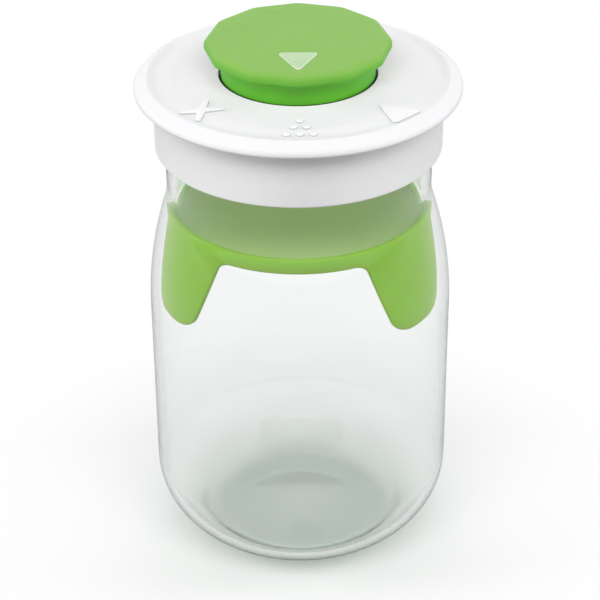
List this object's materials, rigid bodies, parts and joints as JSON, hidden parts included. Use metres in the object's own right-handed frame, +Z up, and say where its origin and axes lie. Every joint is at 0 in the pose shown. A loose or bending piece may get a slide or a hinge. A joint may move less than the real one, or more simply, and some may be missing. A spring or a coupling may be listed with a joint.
{
  "type": "fermentation jar",
  "caption": "Clear glass fermentation jar with a screw lid, a turning vent knob with a pointer, and a soft press with petals that holds food under the brine.",
  "frame": {"origin": "centre of the jar's foot, on the surface it stands on", "axes": "+Z up along the jar's axis, -Y to the front that the knob's pointer faces"},
  "size_m": [0.1052, 0.1052, 0.1825],
  "materials": {
    "clear_glass": "polished clear glass",
    "green_silicone": "satin moulded silicone",
    "clear_silicone": "satin milky silicone",
    "white_plastic": "satin white moulding",
    "green_plastic": "fine matte moulding",
    "pale_plastic": "satin pale insert",
    "dark_rubber": "satin black rubber",
    "washer_plastic": "matte natural plastic",
    "clip_steel": "plain stainless steel"
  },
  "bodies": {
    "jar": {"glass_jar": "clear_glass"},
    "press": {"food_press": "green_silicone"},
    "lid_seal": {"lid_gasket": "clear_silicone"},
    "lid": {"screw_cap": "white_plastic", "lid_saucer": "white_plastic", "check_valve": "clear_silicone"},
    "knob": {"knob_cap": "green_plastic", "pointer": "pale_plastic", "knob_core": "white_plastic", "port_seal": "clear_silicone", "spindle_o_ring": "dark_rubber", "thrust_washer": "washer_plastic", "retaining_clip": "clip_steel"}
  },
  "joints": [
    {"name": "press_slide", "type": "slide", "parent": "jar", "child": "press", "axis": [0, 0, 1], "range_m": [-0.064, 0]},
    {"name": "lid_lift", "type": "slide", "parent": "jar", "child": "lid_seal", "axis": [0, 0, 1], "range_m": [0, 0.13]},
    {"name": "lid_turn", "type": "hinge", "parent": "lid_seal", "child": "lid", "pos_m": [0, 0, 0.16], "axis": [0, 0, 1], "range_deg": [0, 360]},
    {"name": "knob_turn", "type": "hinge", "parent": "lid", "child": "knob", "pos_m": [0, 0, 0.15], "axis": [0, 0, 1], "range_deg": [-45, 45]}
  ]
}
